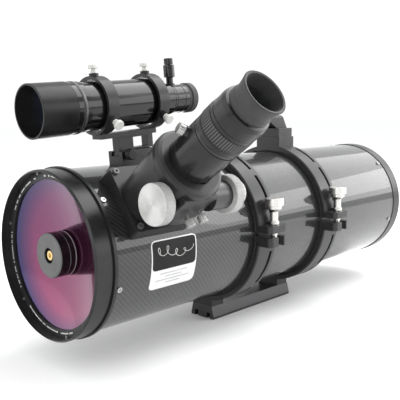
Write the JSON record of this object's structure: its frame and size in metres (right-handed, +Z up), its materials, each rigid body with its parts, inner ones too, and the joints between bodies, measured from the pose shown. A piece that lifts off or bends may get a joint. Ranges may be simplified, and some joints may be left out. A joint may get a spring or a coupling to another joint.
{
  "type": "telescope tube assembly",
  "caption": "Maksutov-Newtonian telescope tube with coated corrector, side focuser and eyepiece, straight finder, hinged rings, carry handle and dovetail bar.",
  "frame": {"origin": "middle of the dovetail bar's underside", "axes": "+X along the tube from the corrector to the rear cell, +Z up from the bar to the carry handle, -Y is the focuser's side"},
  "size_m": [0.6678, 0.3831, 0.3579],
  "materials": {
    "carbon": "twill carbon fibre under clear lacquer",
    "satin_black": "satin black",
    "anodised_black": "black anodised",
    "gloss_black": "gloss black",
    "corrector_glass": "coated, magenta reflection",
    "screw_steel": "plain",
    "brass": "plain",
    "mirror": "polished",
    "felt": "black felt",
    "chrome": "polished",
    "knob_silver": "satin silver, knurled rim",
    "nylon": "white nylon",
    "rubber": "black rubber",
    "lens": "coated"
  },
  "bodies": {
    "rings": {"front_ring_lower": "satin_black", "rear_ring_lower": "satin_black", "felt_liners_lower": "felt", "hinge_pins": "screw_steel", "dovetail_bar": "anodised_black", "bar_screws": "screw_steel"},
    "ring_tops": {"front_ring_upper": "satin_black", "rear_ring_upper": "satin_black", "felt_liners_upper": "felt", "carry_handle": "satin_black"},
    "front_clamp": {"front_clamp_screw": "chrome"},
    "rear_clamp": {"rear_clamp_screw": "chrome"},
    "tube": {"carbon_tube": "carbon", "front_cell": "satin_black", "retaining_ring": "satin_black", "corrector_lens": "corrector_glass", "cell_screws": "screw_steel", "rear_cell": "satin_black", "secondary_cap": "satin_black", "secondary_bolt": "brass", "secondary_holder": "satin_black", "secondary_mirror": "mirror", "primary_mirror": "mirror", "mirror_plate": "satin_black", "mirror_clips": "satin_black", "rear_backplate": "satin_black", "focuser_base": "satin_black", "base_screws": "screw_steel", "focuser_body": "satin_black", "reduction_housing": "satin_black", "finder_shoe": "satin_black"},
    "collimation_top": {"collimation_knob_top": "anodised_black"},
    "collimation_far": {"collimation_knob_far": "anodised_black"},
    "collimation_near": {"collimation_knob_near": "anodised_black"},
    "drawtube": {"drawtube": "anodised_black"},
    "eyepiece_lock": {"eyepiece_thumb_screw": "screw_steel"},
    "focus_knobs": {"drive_shaft": "screw_steel", "coarse_knobs": "knob_silver"},
    "fine_focus": {"fine_knob": "knob_silver"},
    "drag_screw": {"focuser_drag_screw": "screw_steel"},
    "lock_screw": {"focuser_lock_screw": "screw_steel"},
    "eyepiece": {"eyepiece_barrel": "screw_steel", "eyepiece_body": "anodised_black", "eyepiece_lenses": "lens", "eyepiece_eyecup": "rubber"},
    "finder": {"finder_dew_shield": "gloss_black", "finder_objective": "lens", "finder_eye_lens": "lens", "finder_tube": "gloss_black", "finder_ocular": "anodised_black", "finder_eyecup": "rubber", "illuminator_body": "anodised_black", "finder_bracket": "satin_black", "finder_screws_far": "nylon"},
    "shoe_clamp": {"shoe_clamp_screw": "chrome"},
    "brightness_switch": {"illuminator_switch": "anodised_black"},
    "finder_front_top": {"finder_screw_front_top": "nylon"},
    "finder_front_near": {"finder_screw_front_near": "nylon"},
    "finder_rear_top": {"finder_screw_rear_top": "nylon"},
    "finder_rear_near": {"finder_screw_rear_near": "nylon"}
  },
  "joints": [
    {"name": "rings_open", "type": "hinge", "parent": "rings", "child": "ring_tops", "pos_m": [0, 0.1105, 0.1317], "axis": [-1, 0, 0], "range_deg": [0, 100]},
    {"name": "front_clamp_turn", "type": "hinge", "parent": "ring_tops", "child": "front_clamp", "pos_m": [-0.0665, -0.1125, 0.1517], "axis": [0, 0, 1], "range_deg": [0, 1800]},
    {"name": "rear_clamp_turn", "type": "hinge", "parent": "ring_tops", "child": "rear_clamp", "pos_m": [0.0835, -0.1125, 0.1517], "axis": [0, 0, 1], "range_deg": [0, 1800]},
    {"name": "tube_roll", "type": "hinge", "parent": "rings", "child": "tube", "pos_m": [0, 0, 0.1317], "axis": [1, 0, 0], "continuous": true},
    {"name": "collimation_top_turn", "type": "hinge", "parent": "tube", "child": "collimation_top", "pos_m": [0.295, 0, 0.2017], "axis": [1, 0, 0], "range_deg": [-720, 720]},
    {"name": "collimation_far_turn", "type": "hinge", "parent": "tube", "child": "collimation_far", "pos_m": [0.295, 0.06062, 0.0967], "axis": [1, 0, 0], "range_deg": [-720, 720]},
    {"name": "collimation_near_turn", "type": "hinge", "parent": "tube", "child": "collimation_near", "pos_m": [0.295, -0.06062, 0.0967], "axis": [1, 0, 0], "range_deg": [-720, 720]},
    {"name": "drawtube_slide", "type": "slide", "parent": "tube", "child": "drawtube", "axis": [0, -0.8211, 0.5707], "range_m": [-0.01, 0.024]},
    {"name": "focus_turn", "type": "hinge", "parent": "tube", "child": "focus_knobs", "pos_m": [-0.259, -0.15275, 0.20103], "axis": [1, 0, 0], "range_deg": [-144, 344]},
    {"name": "fine_focus_turn", "type": "hinge", "parent": "tube", "child": "fine_focus", "pos_m": [-0.191, -0.15275, 0.20103], "axis": [1, 0, 0], "range_deg": [-1433, 3440]},
    {"name": "drag_screw_turn", "type": "hinge", "parent": "tube", "child": "drag_screw", "pos_m": [-0.257, -0.14803, 0.17979], "axis": [0, -0.5707, -0.8211], "range_deg": [-360, 720]},
    {"name": "lock_screw_turn", "type": "hinge", "parent": "tube", "child": "lock_screw", "pos_m": [-0.244, -0.15296, 0.18321], "axis": [0, -0.5707, -0.8211], "range_deg": [0, 1080]},
    {"name": "eyepiece_lock_turn", "type": "hinge", "parent": "drawtube", "child": "eyepiece_lock", "pos_m": [-0.28358, -0.17165, 0.27196], "axis": [-0.8192, 0.3273, 0.471], "range_deg": [0, 1080]},
    {"name": "eyepiece_pull", "type": "slide", "parent": "drawtube", "child": "eyepiece", "axis": [0, -0.8211, 0.5707], "range_m": [0, 0.04]},
    {"name": "finder_slide_out", "type": "slide", "parent": "tube", "child": "finder", "axis": [-0.9976, 0, -0.0698], "range_m": [0, 0.055]},
    {"name": "shoe_clamp_turn", "type": "hinge", "parent": "tube", "child": "shoe_clamp", "pos_m": [-0.23917, -0.031, 0.24194], "axis": [0, -1, 0], "range_deg": [0, 1080]},
    {"name": "brightness_turn", "type": "hinge", "parent": "finder", "child": "brightness_switch", "pos_m": [-0.15829, -0.016, 0.34683], "axis": [-0.0698, 0, 0.9976], "range_deg": [0, 270]},
    {"name": "finder_front_top_turn", "type": "hinge", "parent": "finder", "child": "finder_front_top", "pos_m": [-0.27436, -0.016, 0.33671], "axis": [-0.0698, 0, 0.9976], "range_deg": [-1080, 1080]},
    {"name": "finder_front_near_turn", "type": "hinge", "parent": "finder", "child": "finder_front_near", "pos_m": [-0.27039, -0.04891, 0.27985], "axis": [0.0349, -0.866, -0.4988], "range_deg": [-1080, 1080]},
    {"name": "finder_rear_top_turn", "type": "hinge", "parent": "finder", "child": "finder_rear_top", "pos_m": [-0.19855, -0.016, 0.34201], "axis": [-0.0698, 0, 0.9976], "range_deg": [-1080, 1080]},
    {"name": "finder_rear_near_turn", "type": "hinge", "parent": "finder", "child": "finder_rear_near", "pos_m": [-0.19457, -0.04891, 0.28515], "axis": [0.0349, -0.866, -0.4988], "range_deg": [-1080, 1080]}
  ],
  "couplings": [
    {"joint": "focus_turn", "follows": "drawtube_slide", "rad_per_m": 250},
    {"joint": "fine_focus_turn", "follows": "drawtube_slide", "rad_per_m": 2500}
  ]
}
